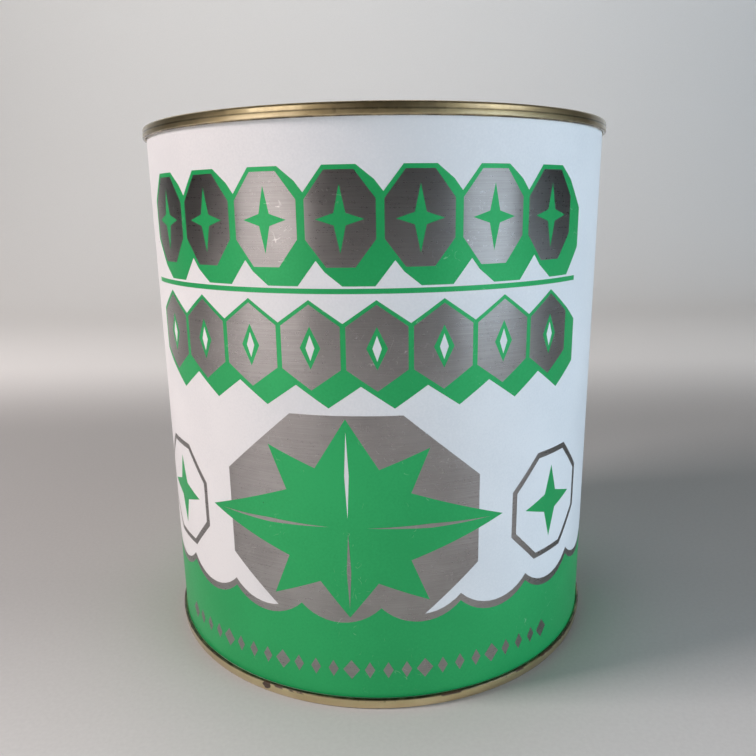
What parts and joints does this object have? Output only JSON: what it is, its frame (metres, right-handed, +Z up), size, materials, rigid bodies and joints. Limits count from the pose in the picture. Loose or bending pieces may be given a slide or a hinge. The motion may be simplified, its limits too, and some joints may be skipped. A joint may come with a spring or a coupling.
{
  "type": "oyster can",
  "caption": "Shut gallon can for fresh oysters: printed tinplate body with a gold-lacquered end double-seamed on at top and bottom.",
  "frame": {"origin": "centre of the circle the can stands on, under the bottom seam", "axes": "+Z up along the can's axis; -Y towards the middle of the front print; the soldered side seam is on +X"},
  "size_m": [0.1683, 0.1682, 0.1873],
  "materials": {
    "printed_tinplate": "glossy white, green and bare-tin lithographed print",
    "gold_lacquer": "gold-lacquered tinplate, satin"
  },
  "bodies": {
    "root": {"can_body": "printed_tinplate", "top_end": "gold_lacquer", "bottom_end": "gold_lacquer"}
  },
  "joints": []
}
